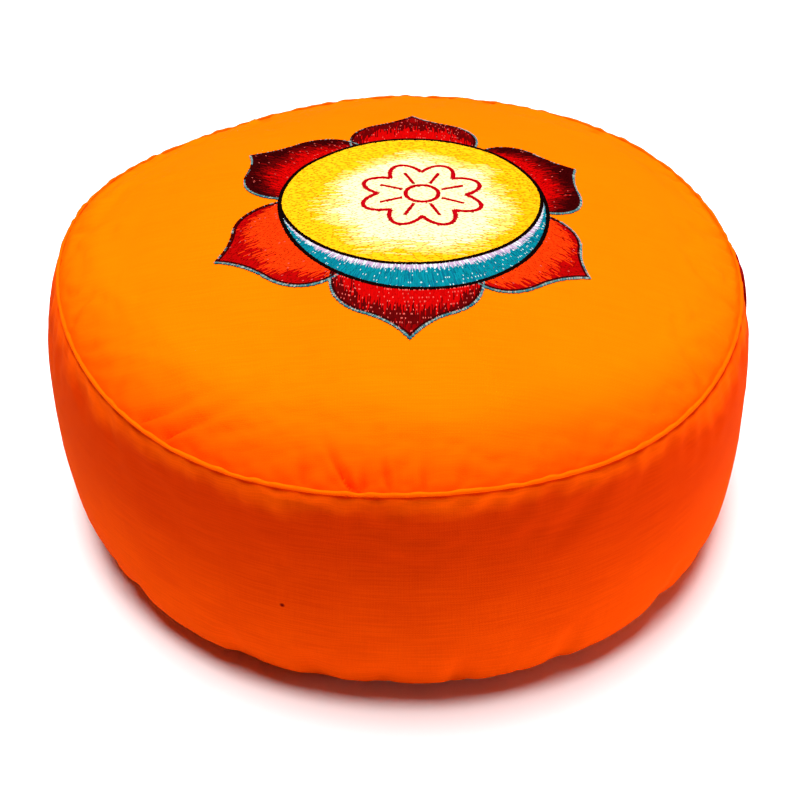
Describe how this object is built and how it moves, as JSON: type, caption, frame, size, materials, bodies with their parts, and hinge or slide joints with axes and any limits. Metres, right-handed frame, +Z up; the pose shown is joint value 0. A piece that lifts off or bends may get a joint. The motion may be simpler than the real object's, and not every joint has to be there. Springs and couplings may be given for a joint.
{
  "type": "round meditation cushion",
  "caption": "Round drum-shaped meditation cushion with a crowned top panel, a bulging side band drawn in to a flat base, a narrow seam welt and a flat carry strap.",
  "frame": {"origin": "on the floor, at the middle of the flat base", "axes": "+Z up through the crown, -Y the front as pictured, +X the side that carries the strap"},
  "size_m": [0.338, 0.3334, 0.1605],
  "materials": {
    "orange_cotton": "plain woven cotton, matt with a faint nap, vivid orange",
    "orange_welt": "the same cotton folded over and stitched into the seam",
    "dark_red_webbing": "dark red woven cotton band, ribbed and matt",
    "embroidery_thread": "satin"
  },
  "bodies": {
    "root": {"cushion": "orange_cotton", "seam_welt": "orange_welt", "carry_strap": "dark_red_webbing"}
  },
  "joints": []
}
